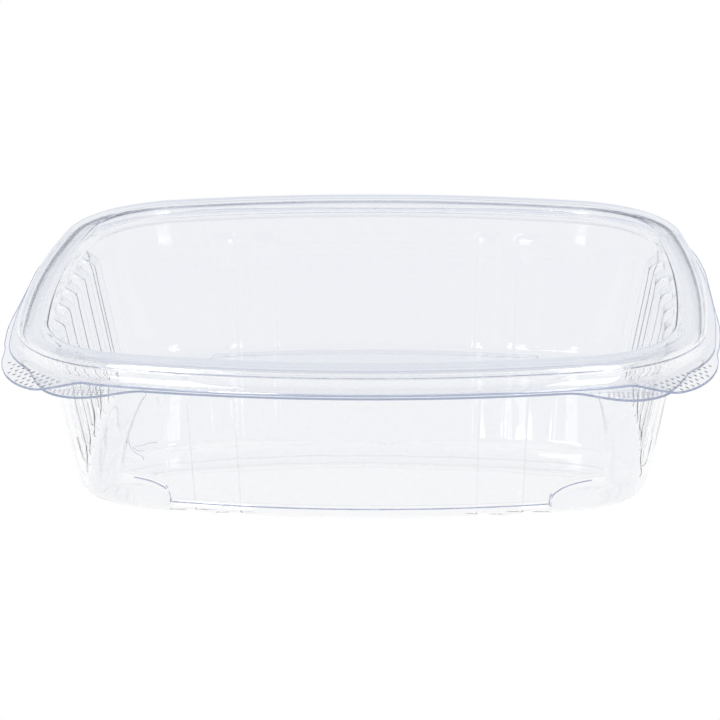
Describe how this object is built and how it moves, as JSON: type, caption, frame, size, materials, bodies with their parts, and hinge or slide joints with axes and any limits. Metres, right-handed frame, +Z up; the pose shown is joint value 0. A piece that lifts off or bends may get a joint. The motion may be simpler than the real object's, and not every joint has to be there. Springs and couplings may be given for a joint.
{
  "type": "takeaway meal container",
  "caption": "Clear hinged takeaway container, shut: a fluted tray with corner feet under a lid with a raised ring bead, paired opening tabs and a fold at the back.",
  "frame": {"origin": "middle of the footprint, on the surface that the container stands on", "axes": "+X along the long side, to the right as seen from the opening tabs; +Y from the tabs towards the fold; +Z up"},
  "size_m": [0.1834, 0.162, 0.0451],
  "materials": {
    "tray_plastic": "clear, glossy, formed sheet",
    "lid_plastic": "clear, glossy, formed sheet"
  },
  "bodies": {
    "tray": {"tray": "tray_plastic", "hinge_fold": "tray_plastic"},
    "lid": {"lid": "lid_plastic"}
  },
  "joints": [
    {"name": "lid_hinge", "type": "hinge", "parent": "tray", "child": "lid", "pos_m": [0, 0.08072, 0.03895], "axis": [-1, 0, 0], "range_deg": [0, 180]}
  ]
}
